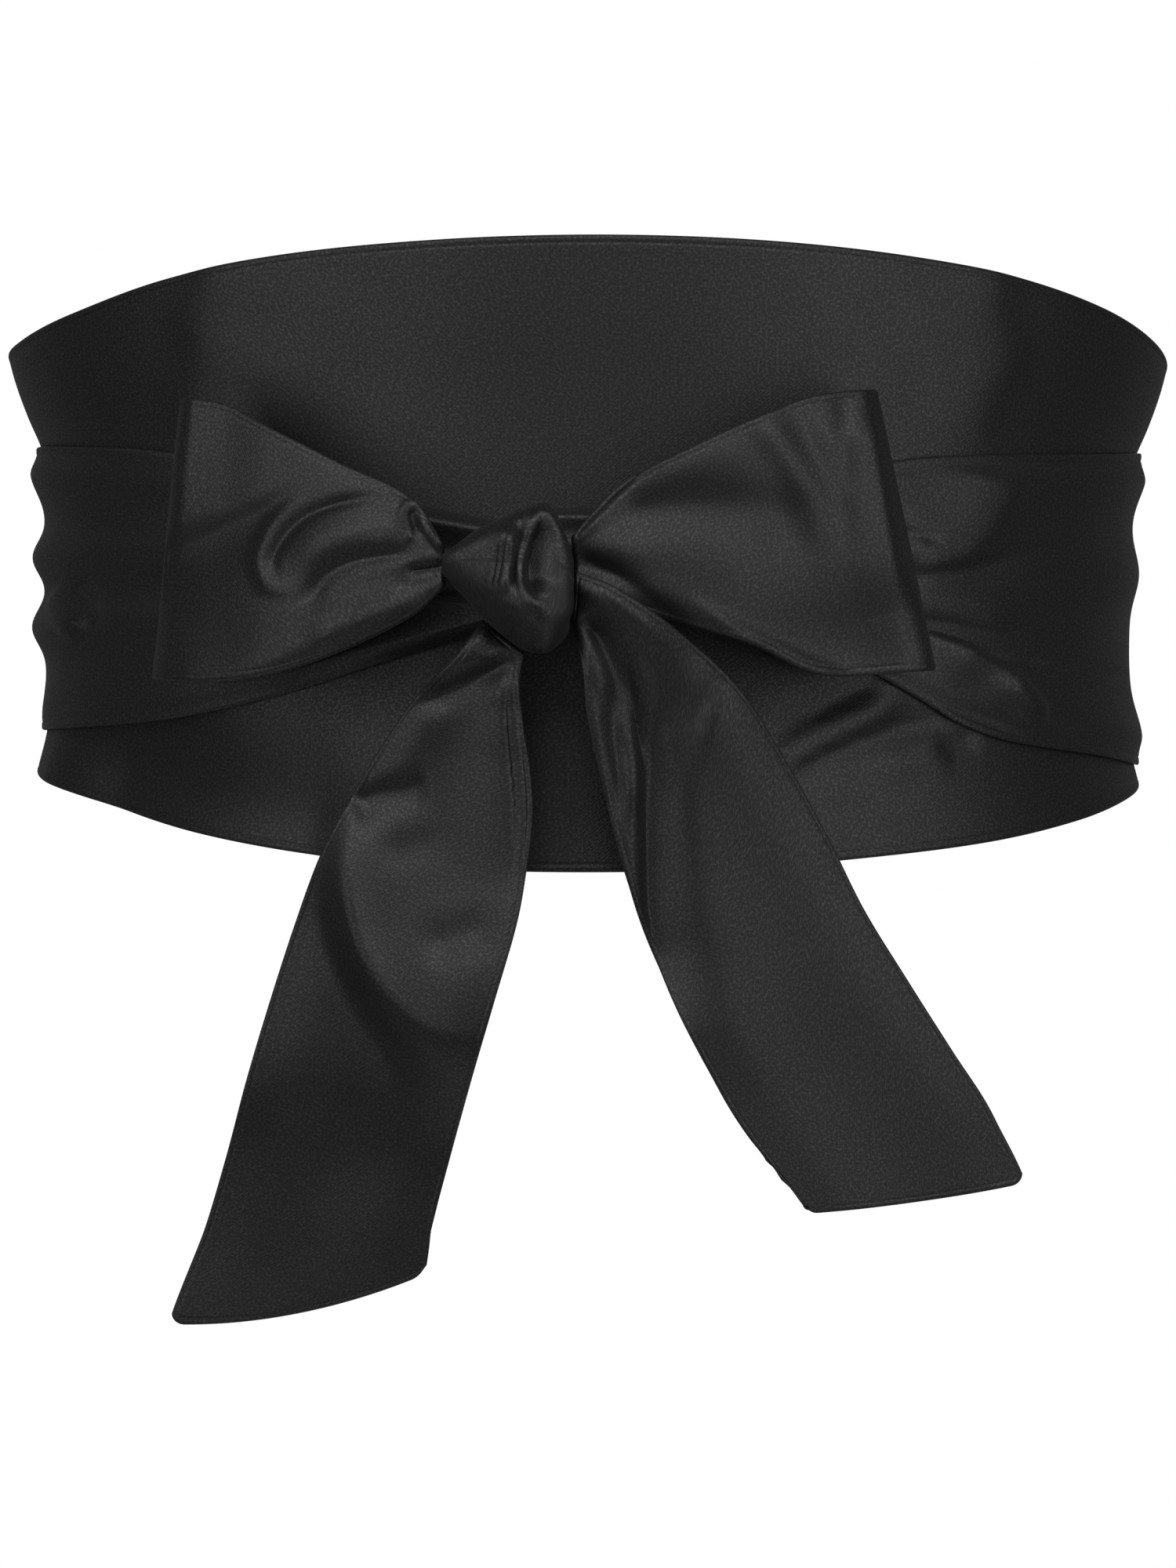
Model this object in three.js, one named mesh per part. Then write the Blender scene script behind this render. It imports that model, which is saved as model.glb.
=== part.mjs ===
// A satin waist sash, tied in front with a bow, in the hollow shape it has when it is worn.
// Two panel halves meet in a seam at the front. Each half tapers to a long tie at the back.
// The ties pass each other there, run round over the panel to the front, and make the bow.
// Millimetres. The front faces -Y, X runs to the right as seen from the front, and Z is up.
// Left and right are as seen from the front. The origin is the middle of the waist.
import * as THREE from "three";

// Driving sizes
const WAIST_HALF_WIDTH = 121;
const WAIST_HALF_DEPTH = 95;
const PANEL_WALL = 1.6;
const TIE_WALL = 1.2;
const SEAM_GAP = 0.3;
const FRONT_SEAM_ANGLE = -2.4;
const FRONT_FLARE = 0.2;
const PANEL_END_ANGLE = 152;
const LOOP_TURN_RADIUS = 4.5;
const KNOT_BOXINESS = 2.8;
const KNOT_NOSE_UP = 0.28;
const KNOT_OVERHANG = { left: 1.4, right: 1.8 };

// Grid steps of each kind of piece: along its length, then across its width
const PANEL_STEPS = { along: 36, across: 9 };
const WRAP_STEPS = { along: 42, across: 14 };
const LOOP_STEPS = { front: 13, turn: 6, back: 9, across: 13 };
const TAIL_STEPS = { along: 30, across: 13 };
const KNOT_STEPS = { around: 28, across: 14 };

// Upper and lower edge of the panel by angle from the front, with its share of the flare
const PANEL_EDGES = [
  { angle: -152, top: 33, bottom: -36, flare: 0.4 },
  { angle: -120, top: 40.5, bottom: -42, flare: 0.8 },
  { angle: -90, top: 47.5, bottom: -47.5, flare: 1 },
  { angle: -75, top: 50, bottom: -50.8, flare: 1 },
  { angle: -60, top: 54.2, bottom: -56.3, flare: 1 },
  { angle: -45, top: 60, bottom: -61.6, flare: 1 },
  { angle: -30, top: 64.4, bottom: -65.8, flare: 1 },
  { angle: -15, top: 66.7, bottom: -68.6, flare: 1 },
  { angle: 0, top: 67.6, bottom: -69.4, flare: 1 },
  { angle: 15, top: 66.9, bottom: -68.6, flare: 1 },
  { angle: 30, top: 64.6, bottom: -66.2, flare: 1 },
  { angle: 45, top: 60.8, bottom: -63, flare: 1 },
  { angle: 60, top: 55.4, bottom: -58.6, flare: 1 },
  { angle: 75, top: 49.6, bottom: -54, flare: 1 },
  { angle: 90, top: 45, bottom: -50.5, flare: 1 },
  { angle: 120, top: 38.5, bottom: -44, flare: 0.8 },
  { angle: 152, top: 33, bottom: -36, flare: 0.4 },
];

// How far the panel stands out of the waist oval, from its lower edge (-1) to its upper edge (1)
const WAIST_PROFILE = [
  { share: -1, out: 4.6 },
  { share: -0.8, out: 2.2 },
  { share: -0.5, out: 0.3 },
  { share: 0, out: 0 },
  { share: 0.35, out: 1.2 },
  { share: 0.55, out: 3.4 },
  { share: 0.7, out: 6.4 },
  { share: 0.85, out: 9 },
  { share: 1, out: 11 },
];

// The ties round the waist, from the seam at the panel's end, past the back, to the knot.
// Lift is the height over the panel's middle, gather the share of the height of the folds along the tie.
const LEFT_WRAP = [
  { angle: -207.6, top: 33, bottom: -36, lift: 0, gather: 0 },
  { angle: -196, top: 10, bottom: -36.5, lift: 0, gather: 0.19 },
  { angle: -187, top: 1.5, bottom: -36.2, lift: 0.3, gather: 0.5 },
  { angle: -180, top: -0.8, bottom: -36.2, lift: 1.25, gather: 0.8 },
  { angle: -173, top: -0.5, bottom: -36.5, lift: 2.3, gather: 0.94 },
  { angle: -164, top: 5, bottom: -37.5, lift: 3, gather: 0.94 },
  { angle: -150, top: 20, bottom: -38, lift: 2.6, gather: 0.81 },
  { angle: -120, top: 26, bottom: -38, lift: 2.4, gather: 0.81 },
  { angle: -90, top: 26.6, bottom: -38, lift: 2.4, gather: 1 },
  { angle: -66, top: 25, bottom: -37.7, lift: 2.4, gather: 0.5 },
  { angle: -48, top: 22.5, bottom: -36, lift: 2.5, gather: 0.4 },
  { angle: -34, top: 17, bottom: -31.5, lift: 2.7, gather: 0.7 },
  { angle: -22, top: 12, bottom: -25, lift: 6, gather: 0.3 },
  { angle: -6.5, top: 4.6, bottom: -15.5, lift: 11.2, gather: 0.2 },
];
const RIGHT_WRAP = [
  { angle: -5, top: 8.5, bottom: -12, lift: 10, gather: 0.2 },
  { angle: 10, top: 9.5, bottom: -16, lift: 5.8, gather: 0.2 },
  { angle: 22, top: 14.5, bottom: -21.5, lift: 2.8, gather: 0.5 },
  { angle: 30, top: 18.6, bottom: -26.3, lift: 2.3, gather: 0.3 },
  { angle: 36, top: 20.6, bottom: -32, lift: 2.2, gather: 0.15 },
  { angle: 41, top: 21.3, bottom: -37, lift: 2.2, gather: 0.1 },
  { angle: 48, top: 22, bottom: -40.8, lift: 2.2, gather: 0.1 },
  { angle: 62, top: 23, bottom: -43.4, lift: 2.2, gather: 0.3 },
  { angle: 90, top: 25.5, bottom: -46, lift: 2.4, gather: 0.8 },
  { angle: 120, top: 28, bottom: -41, lift: 2.4, gather: 0.73 },
  { angle: 150, top: 33, bottom: -22, lift: 2.6, gather: 0.87 },
  { angle: 164, top: 36.5, bottom: -5, lift: 3, gather: 1 },
  { angle: 173, top: 36, bottom: 0.5, lift: 2.3, gather: 0.94 },
  { angle: 180, top: 36, bottom: 0.8, lift: 1.25, gather: 0.8 },
  { angle: 187, top: 36.2, bottom: -1.5, lift: 0.3, gather: 0.5 },
  { angle: 196, top: 36.5, bottom: -10, lift: 0, gather: 0.19 },
  { angle: 207.6, top: 33, bottom: -36, lift: 0, gather: 0 },
];

// Folds along the ties: place from the upper edge (0) to the lower one (1), width and height
const LEFT_WRAP_CRESTS = [
  { across: 0.1, width: 0.085, height: 1.9 },
  { across: 0.39, width: 0.075, height: 3.4 },
  { across: 0.635, width: 0.08, height: 3.4 },
];
const RIGHT_WRAP_CRESTS = [
  { across: 0.09, width: 0.09, height: 2.2 },
  { across: 0.39, width: 0.1, height: 3.2 },
  { across: 0.9, width: 0.09, height: 1.6 },
];

// The bow's loops from the knot (0) to the turn (1): both edges as X and Z, the depth of the loop's middle,
// half the loop's thickness there, the swell of its front and the height of its gathers
const LEFT_LOOP = [
  { reach: 0, top: [-30.4, -0.6], low: [-30.4, -8.6], depth: -116.5, half: 2.2, swell: 0, gather: 0.8 },
  { reach: 0.13, top: [-37, 9.8], low: [-37, -14.4], depth: -112.5, half: 4.6, swell: 1.2, gather: 2 },
  { reach: 0.37, top: [-52.3, 17.6], low: [-52.3, -21.8], depth: -106, half: 7, swell: 1.5, gather: 1.4 },
  { reach: 0.61, top: [-67.6, 25.5], low: [-68, -26.8], depth: -100.5, half: 6.5, swell: 1, gather: 0.4 },
  { reach: 0.8, top: [-77.6, 30.9], low: [-80.6, -28.3], depth: -95.5, half: 5.5, swell: 0.5, gather: 0 },
  { reach: 1, top: [-87.4, 32.8], low: [-94, -27.8], depth: -91.5, half: 4.5, swell: 0, gather: 0 },
];
const RIGHT_LOOP = [
  { reach: 0, top: [-3.6, 1.8], low: [-2.4, -7], depth: -115.5, half: 2.2, swell: 0, gather: 0.6 },
  { reach: 0.13, top: [6.5, 12.6], low: [8, -12.5], depth: -113, half: 4, swell: 1.5, gather: 1.6 },
  { reach: 0.34, top: [20, 20], low: [21.5, -16.6], depth: -110, half: 7, swell: 2, gather: 1 },
  { reach: 0.56, top: [35, 27], low: [35.7, -21], depth: -107.5, half: 7.5, swell: 1.5, gather: 0.3 },
  { reach: 0.78, top: [48.2, 32.2], low: [50.2, -27], depth: -103.5, half: 6.5, swell: 0.8, gather: 0 },
  { reach: 1, top: [61.5, 34.2], low: [74.3, -26], depth: -98.5, half: 4.5, swell: 0, gather: 0 },
];

// Where a loop's end sags towards the waist: an oval in the front view and its depth
const LEFT_LOOP_SAG = { x: -106, z: -8, halfWidth: 26, halfHeight: 13, depth: 11 };
const RIGHT_LOOP_SAG = { x: 66, z: -24, halfWidth: 22, halfHeight: 14, depth: 4 };

// The tails from the knot (0) to the hem (1): both edges as X, Y and Z,
// and the height of the folds along the tail
const LEFT_TAIL = [
  { along: 0, left: [-22.5, -113.5, -15.7], right: [-13.5, -114, -22.7], fold: 0.4 },
  { along: 0.06, left: [-27.7, -115.5, -23], right: [-14.5, -116.5, -29], fold: 1 },
  { along: 0.13, left: [-36.8, -112.5, -32.1], right: [-13.8, -116.5, -38], fold: 1 },
  { along: 0.21, left: [-45.2, -109, -44.1], right: [-12.2, -115, -48], fold: 0.9 },
  { along: 0.29, left: [-51.8, -106, -55.4], right: [-11.8, -113, -58], fold: 0.8 },
  { along: 0.37, left: [-57.8, -104, -67.1], right: [-13.2, -111, -69.6], fold: 0.8 },
  { along: 0.46, left: [-62.7, -101, -80.1], right: [-15.2, -110, -80.4], fold: 0.7 },
  { along: 0.58, left: [-68.3, -99.5, -97.2], right: [-20, -107, -97.1], fold: 0.6 },
  { along: 0.7, left: [-73.4, -97, -114], right: [-24.9, -103.5, -113.8], fold: 0.5 },
  { along: 0.82, left: [-78.1, -91.5, -131], right: [-29.6, -97, -130.6], fold: 0.5 },
  { along: 0.92, left: [-83.3, -88, -148], right: [-33.5, -93.5, -145.6], fold: 0.5 },
  { along: 1, left: [-90.1, -85.5, -167.4], right: [-35.3, -91.5, -156.2], fold: 0.4 },
];
const RIGHT_TAIL = [
  { along: 0, left: [-3, -117, -16.5], right: [-2.8, -120.2, -5.4], fold: 0.3 },
  { along: 0.07, left: [-1.2, -119, -25.4], right: [6.5, -122, -9.4], fold: 0.8 },
  { along: 0.15, left: [-0.2, -118, -36.2], right: [19.8, -118, -18.6], fold: 0.9 },
  { along: 0.24, left: [2.3, -116, -47.9], right: [32.3, -112, -30.3], fold: 0.9 },
  { along: 0.35, left: [5.7, -114, -62.1], right: [42.3, -106, -45.6], fold: 0.8 },
  { along: 0.45, left: [9.2, -112, -73.7], right: [51.5, -103, -62.1], fold: 0.7 },
  { along: 0.55, left: [13.5, -110.5, -85.4], right: [59, -102.5, -77.1], fold: 0.6 },
  { along: 0.67, left: [19, -109.5, -98.7], right: [68.2, -103, -92.1], fold: 0.5 },
  { along: 0.78, left: [25.7, -109, -111.6], right: [77.7, -103.5, -107.1], fold: 0.5 },
  { along: 0.89, left: [32.8, -109, -123.7], right: [86.2, -104, -120.4], fold: 0.4 },
  { along: 1, left: [46.5, -109, -141.9], right: [92.8, -104.5, -135.8], fold: 0.3 },
];

// The bowl of cloth in the left tail, an oval in the front view that swells towards its lower rim.
// Past the rim it falls away, steeply on the left and softly on the right.
const LEFT_TAIL_BELLY = { x: -25, z: -66, halfWidth: 26, halfHeight: 34, rise: 7.5, fall: 4.6, softFall: 15 };

// The knot from its left end to its right end: outline, depth of its middle and half its thickness
const KNOT = [
  { x: -29.2, top: -1.2, bottom: -7.8, depth: -116.5, half: 5.4 },
  { x: -26, top: 1.6, bottom: -11, depth: -117, half: 6.8 },
  { x: -22.5, top: 4, bottom: -15, depth: -117.5, half: 8.2 },
  { x: -16, top: 6.8, bottom: -20.4, depth: -118, half: 10.4 },
  { x: -12, top: 8.4, bottom: -22.6, depth: -118, half: 11 },
  { x: -8.6, top: 9, bottom: -22.6, depth: -118, half: 10.8 },
  { x: -5.8, top: 4.4, bottom: -20.4, depth: -117.5, half: 9.6 },
  { x: -4.2, top: -2, bottom: -18, depth: -117, half: 8.4 },
];

// Pleats of the knot, and the hollow between its lobes: place from its left end (0) to its right end (1),
// width, height, and how far each leans to the left from its upper to its lower end
const KNOT_PLEATS = [
  { across: 0.28, width: 0.14, height: 0.8, lean: 0.02 },
  { across: 0.5, width: 0.06, height: 1.3, lean: 0.04 },
  { across: 0.68, width: 0.09, height: -2.2, lean: 0.04 },
  { across: 0.9, width: 0.07, height: 1, lean: -0.02 },
];

// The largest folds, as straight ridges (rise over 0) and troughs in the front view
const PANEL_FOLDS = [
  { x1: -118, z1: -48, x2: -36, z2: -67, width: 20, rise: -4.5 },
];
const LEFT_LOOP_FOLDS = [
  { x1: -90, z1: 2, x2: -62, z2: 12, width: 6, rise: -3 },
  { x1: -60, z1: -2, x2: -40, z2: 3, width: 4, rise: 1.5 },
  { x1: -56, z1: -14.5, x2: -39, z2: -7, width: 3.6, rise: 2 },
  { x1: -86, z1: -26, x2: -54, z2: -18, width: 6, rise: 2.4 },
];
const RIGHT_LOOP_FOLDS = [
  { x1: 10, z1: 13, x2: 45, z2: 11, width: 4.2, rise: -3 },
  { x1: 6, z1: 1.5, x2: 32, z2: 2, width: 5, rise: 2.6 },
  { x1: 0, z1: -7, x2: 13, z2: -11, width: 5.5, rise: -3.6 },
  { x1: 36, z1: -9, x2: 54, z2: -14, width: 8, rise: -1.6 },
];
const LEFT_TAIL_FOLDS = [
  { x1: -35, z1: -34, x2: -15, z2: -24.6, width: 3, rise: -2.6 },
  { x1: -48, z1: -54, x2: -36, z2: -51, width: 4, rise: -2 },
];
const RIGHT_TAIL_FOLDS = [
  { x1: 0, z1: -14, x2: 7, z2: -33, width: 3, rise: -2.8 },
  { x1: 13, z1: -28, x2: 16.5, z2: -60, width: 3.4, rise: -3.2 },
  { x1: 16.5, z1: -60, x2: 16.5, z2: -82, width: 3.4, rise: -2.6 },
  { x1: 13, z1: -18, x2: 23, z2: -54, width: 6, rise: 2.6 },
  { x1: 23, z1: -54, x2: 23, z2: -90, width: 6, rise: 1.8 },
];
const RIGHT_WRAP_FOLDS = [
  { x1: 74, z1: -20, x2: 96, z2: -33, width: 4.5, rise: 3 },
  { x1: 78, z1: 2, x2: 90, z2: 15, width: 6, rise: 1.8 },
];

const radians = THREE.MathUtils.degToRad;
const mix = THREE.MathUtils.lerp;
const step = THREE.MathUtils.smoothstep;

// One column of a table, smooth between its rows, whose key rises. A column of points gives one part of them.
function valueAt(rows, key, at, column, part) {
  const value = (row) => (part === undefined ? row[column] : row[column][part]);
  const last = rows.length - 1;
  if (at <= rows[0][key]) return value(rows[0]);
  if (at >= rows[last][key]) return value(rows[last]);
  const i = rows.findIndex((row) => row[key] >= at) - 1;
  const slope = (n) => {
    const before = rows[Math.max(n - 1, 0)];
    const after = rows[Math.min(n + 1, last)];
    return (value(after) - value(before)) / (after[key] - before[key]);
  };
  const span = rows[i + 1][key] - rows[i][key];
  const t = (at - rows[i][key]) / span;
  const rise = value(rows[i + 1]) - value(rows[i]);
  const bend = t * (1 - t) * ((1 - t) * (slope(i) * span - rise) - t * (slope(i + 1) * span - rise));
  return value(rows[i]) + t * rise + bend;
}

// The rise that a list of folds gives at a place in the front view
function foldRise(folds, x, z) {
  let total = 0;
  for (const fold of folds) {
    const dx = fold.x2 - fold.x1;
    const dz = fold.z2 - fold.z1;
    const along = ((x - fold.x1) * dx + (z - fold.z1) * dz) / (dx * dx + dz * dz);
    const share = THREE.MathUtils.clamp(along, 0, 1);
    const away = Math.hypot(x - fold.x1 - share * dx, z - fold.z1 - share * dz);
    total += fold.rise * Math.exp(-((away / fold.width) ** 2));
  }
  return total;
}

// The rise that a list of crests gives at a place across a piece
function crestRise(crests, across) {
  const rise = (crest) => crest.height * Math.exp(-(((across - crest.across) / crest.width) ** 2));
  return crests.reduce((total, crest) => total + rise(crest), 0);
}

// Soft waves across a tie, from 0 at both edges to 1 at each crest
function gatherWave(across, count) {
  const uneven = across + 0.05 * Math.sin(2 * Math.PI * across);
  return 0.5 - 0.5 * Math.cos(2 * Math.PI * count * uneven);
}

// A closed wall of even thickness about a grid of points, which may join up with itself along its length
function wallAbout(pointAt, alongShares, acrossSteps, wall, joined = false) {
  const rowCount = alongShares.length;
  const columnCount = acrossSteps + 1;
  const middle = alongShares.map((along) =>
    Array.from({ length: columnCount }, (_, j) => pointAt(along, j / acrossSteps)),
  );
  const rowNear = (i) => {
    if (joined) return (i + rowCount) % rowCount;
    return THREE.MathUtils.clamp(i, 0, rowCount - 1);
  };
  const vertices = [];
  for (const side of [0.5, -0.5]) {
    for (let i = 0; i < rowCount; i++) {
      for (let j = 0; j < columnCount; j++) {
        const lengthwise = middle[rowNear(i + 1)][j].clone().sub(middle[rowNear(i - 1)][j]);
        const left = middle[i][Math.max(j - 1, 0)];
        const right = middle[i][Math.min(j + 1, acrossSteps)];
        const normal = lengthwise.cross(right.clone().sub(left)).normalize();
        vertices.push(...middle[i][j].clone().addScaledVector(normal, side * wall));
      }
    }
  }
  const layer = rowCount * columnCount;
  const faces = [];
  const quad = (a, b, c, d) => faces.push(a, b, c, a, c, d);
  const lastRow = joined ? rowCount : rowCount - 1;
  for (let i = 0; i < lastRow; i++) {
    const here = i * columnCount;
    const next = ((i + 1) % rowCount) * columnCount;
    for (let j = 0; j < acrossSteps; j++) {
      quad(here + j, next + j, next + j + 1, here + j + 1);
      quad(layer + here + j, layer + here + j + 1, layer + next + j + 1, layer + next + j);
    }
    quad(here, layer + here, layer + next, next);
    quad(here + acrossSteps, next + acrossSteps, layer + next + acrossSteps, layer + here + acrossSteps);
  }
  if (!joined) {
    const end = (rowCount - 1) * columnCount;
    for (let j = 0; j < acrossSteps; j++) {
      quad(j, j + 1, layer + j + 1, layer + j);
      quad(end + j, layer + end + j, layer + end + j + 1, end + j + 1);
    }
  }
  const geometry = new THREE.BufferGeometry();
  geometry.setAttribute("position", new THREE.Float32BufferAttribute(vertices, 3));
  geometry.setIndex(faces);
  return geometry;
}

const evenShares = (steps) => Array.from({ length: steps + 1 }, (_, i) => i / steps);

// A point at an angle from the front and a height, moved out of the panel's middle by lift
function waistPoint(angle, z, lift) {
  const turned = THREE.MathUtils.euclideanModulo(angle + 180, 360) - 180;
  const top = valueAt(PANEL_EDGES, "angle", turned, "top");
  const bottom = valueAt(PANEL_EDGES, "angle", turned, "bottom");
  const share = (2 * (z - bottom)) / (top - bottom) - 1;
  const flare = valueAt(PANEL_EDGES, "angle", turned, "flare");
  const out = flare * valueAt(WAIST_PROFILE, "share", share, "out");
  const halfWidth = WAIST_HALF_WIDTH + out;
  const halfDepth = WAIST_HALF_DEPTH + FRONT_FLARE * out;
  const side = Math.sin(radians(angle));
  const front = Math.cos(radians(angle));
  const outward = new THREE.Vector3(side / halfWidth, -front / halfDepth, 0).normalize();
  return new THREE.Vector3(halfWidth * side, -halfDepth * front, z).addScaledVector(outward, lift);
}

// Half of the panel, between two angles from the front
function panelHalf(fromAngle, toAngle) {
  const pointAt = (along, across) => {
    const angle = mix(fromAngle, toAngle, along);
    const top = valueAt(PANEL_EDGES, "angle", angle, "top");
    const bottom = valueAt(PANEL_EDGES, "angle", angle, "bottom");
    const z = mix(top, bottom, across);
    const base = waistPoint(angle, z, 0);
    return waistPoint(angle, z, base.y < 0 ? foldRise(PANEL_FOLDS, base.x, z) : 0);
  };
  return wallAbout(pointAt, evenShares(PANEL_STEPS.along), PANEL_STEPS.across, PANEL_WALL);
}

// A tie's stretch round the waist, with its gathers and its largest folds
function wrapStretch(rows, crests, folds) {
  const first = rows[0].angle;
  const last = rows[rows.length - 1].angle;
  const pointAt = (along, across) => {
    const angle = mix(first, last, along);
    const at = (column) => valueAt(rows, "angle", angle, column);
    const z = mix(at("top"), at("bottom"), across);
    const base = waistPoint(angle, z, 0);
    const front = base.y < 0 ? foldRise(folds, base.x, z) : 0;
    const lift = at("lift") + at("gather") * crestRise(crests, across);
    return waistPoint(angle, z, Math.max(lift + front, at("lift")));
  };
  return wallAbout(pointAt, evenShares(WRAP_STEPS.along), WRAP_STEPS.across, TIE_WALL);
}

// How far a sag takes a loop back at a place in the front view
function sagDepth(sag, x, z) {
  const away = Math.hypot((x - sag.x) / sag.halfWidth, (z - sag.z) / sag.halfHeight);
  return sag.depth * Math.exp(-(away ** 2));
}

// A loop of the bow: out along its front, round the turn and home along its back
function bowLoop(rows, waves, folds, sag) {
  const [first, last] = [rows[0].top, rows[rows.length - 1].top];
  const length = Math.hypot(last[0] - first[0], last[1] - first[1]);
  const turnStart = 1 - LOOP_TURN_RADIUS / length;
  const places = [];
  for (let i = 0; i < LOOP_STEPS.front; i++) {
    places.push({ reach: (turnStart * i) / LOOP_STEPS.front, side: -1 });
  }
  for (let i = 0; i <= LOOP_STEPS.turn; i++) {
    const angle = (Math.PI * i) / LOOP_STEPS.turn;
    places.push({ reach: mix(turnStart, 1, Math.sin(angle)), side: -Math.cos(angle) });
  }
  for (let i = LOOP_STEPS.back - 1; i >= 0; i--) {
    places.push({ reach: (turnStart * i) / LOOP_STEPS.back, side: 1 });
  }
  const pointAt = (index, across) => {
    const { reach, side } = places[index];
    const at = (column, part) => valueAt(rows, "reach", reach, column, part);
    const x = mix(at("top", 0), at("low", 0), across);
    const z = mix(at("top", 1), at("low", 1), across);
    const gathers = at("gather") * (gatherWave(across, waves) - 0.5);
    const swell = at("swell") * 4 * across * (1 - across);
    const front = step(-side, 0.2, 1) * (swell + gathers + foldRise(folds, x, z));
    const back = step(side, 0.2, 1) * gathers;
    const y = at("depth") + side * at("half") - front + back + sagDepth(sag, x, z);
    return new THREE.Vector3(x, y, z);
  };
  const indexes = places.map((_, index) => index);
  return wallAbout(pointAt, indexes, LOOP_STEPS.across, TIE_WALL);
}

// The rise that a bowl of cloth gives at a place in the front view
function bellyRise(belly, x, z) {
  const reach = Math.hypot((x - belly.x) / belly.halfWidth, (z - belly.z) / belly.halfHeight);
  const softness = step(x - belly.x, -0.9 * belly.halfWidth, 0.3 * belly.halfWidth);
  const past = (Math.max(reach - 1, 0) * belly.halfWidth) / mix(belly.fall, belly.softFall, softness);
  const low = step(belly.z + 0.7 * belly.halfHeight - z, 0, belly.halfHeight);
  return belly.rise * low * Math.min(reach, 1) ** 2.2 * Math.exp(-(past ** 2));
}

// A tail of the bow, with an angled hem that bows down by hemBow
function bowTail(rows, waves, folds, hemBow, belly) {
  const pointAt = (along, across) => {
    const at = (column, part) => valueAt(rows, "along", along, column, part);
    const edges = [0, 1, 2].map((part) => mix(at("left", part), at("right", part), across));
    const point = new THREE.Vector3(...edges);
    point.z -= hemBow * step(along, 0.8, 1) * 4 * across * (1 - across);
    point.y -= at("fold") * (gatherWave(across, waves) - 0.5) + foldRise(folds, point.x, point.z);
    if (belly) point.y -= bellyRise(belly, point.x, point.z);
    return point;
  };
  return wallAbout(pointAt, evenShares(TAIL_STEPS.along), TAIL_STEPS.across, TIE_WALL);
}

// The knot: a pleated wrap round the gathered ends of the loops, open at both ends
function knotWrap() {
  const first = KNOT[0].x;
  const last = KNOT[KNOT.length - 1].x;
  const inset = TIE_WALL / 2;
  const pointAt = (around, across) => {
    const x = mix(first, last, across);
    const at = (column) => valueAt(KNOT, "x", x, column);
    const angle = 2 * Math.PI * around;
    const boxy = (value) => Math.sign(value) * Math.abs(value) ** (2 / KNOT_BOXINESS);
    const height = boxy(Math.sin(angle));
    const depth = boxy(Math.cos(angle));
    const leaning = KNOT_PLEATS.map((pleat) => ({ ...pleat, across: pleat.across + pleat.lean * height }));
    const pleat = crestRise(leaning, across);
    const halfHeight = (at("top") - at("bottom")) / 2 - inset;
    const halfDepth = at("half") - inset + pleat * step(Math.cos(angle), -0.6, 0.6);
    const nose = KNOT_NOSE_UP * (1 - height ** 2);
    const z = (at("top") + at("bottom")) / 2 + halfHeight * (height + nose);
    const over = KNOT_OVERHANG.right * across ** 6 - KNOT_OVERHANG.left * (1 - across) ** 6;
    const overX = x + over * step(Math.cos(angle), 0.5, 0.9);
    return new THREE.Vector3(overX, at("depth") - halfDepth * depth, z);
  };
  const around = evenShares(KNOT_STEPS.around).slice(0, -1);
  return wallAbout(pointAt, around, KNOT_STEPS.across, TIE_WALL, true);
}

const satin = new THREE.MeshStandardMaterial({ color: 0x1b1b1c, roughness: 0.42, metalness: 0 });
const sash = new THREE.Group();

// Adds a piece under its name, with its faces turned outward
function addPiece(name, geometry) {
  const corner = new THREE.Vector3();
  const place = geometry.getAttribute("position");
  const index = geometry.getIndex();
  let volume = 0;
  for (let i = 0; i < index.count; i += 3) {
    const [a, b, c] = [0, 1, 2].map((k) => corner.fromBufferAttribute(place, index.getX(i + k)).clone());
    volume += a.dot(b.cross(c)) / 6;
  }
  if (volume < 0) geometry.setIndex([...index.array].reverse());
  const mesh = new THREE.Mesh(geometry, satin);
  mesh.name = name;
  sash.add(mesh);
}

const seamAngle = THREE.MathUtils.radToDeg(SEAM_GAP / 2 / WAIST_HALF_WIDTH);
addPiece("panel_left", panelHalf(-PANEL_END_ANGLE, FRONT_SEAM_ANGLE - seamAngle));
addPiece("panel_right", panelHalf(FRONT_SEAM_ANGLE + seamAngle, PANEL_END_ANGLE));
addPiece("wrap_left", wrapStretch(LEFT_WRAP, LEFT_WRAP_CRESTS, []));
addPiece("wrap_right", wrapStretch(RIGHT_WRAP, RIGHT_WRAP_CRESTS, RIGHT_WRAP_FOLDS));
addPiece("loop_left", bowLoop(LEFT_LOOP, 3, LEFT_LOOP_FOLDS, LEFT_LOOP_SAG));
addPiece("loop_right", bowLoop(RIGHT_LOOP, 3, RIGHT_LOOP_FOLDS, RIGHT_LOOP_SAG));
addPiece("tail_left", bowTail(LEFT_TAIL, 2, LEFT_TAIL_FOLDS, 3, LEFT_TAIL_BELLY));
addPiece("tail_right", bowTail(RIGHT_TAIL, 2, RIGHT_TAIL_FOLDS, 0.8));
addPiece("knot", knotWrap());

export default sash;
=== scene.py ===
import math

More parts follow.
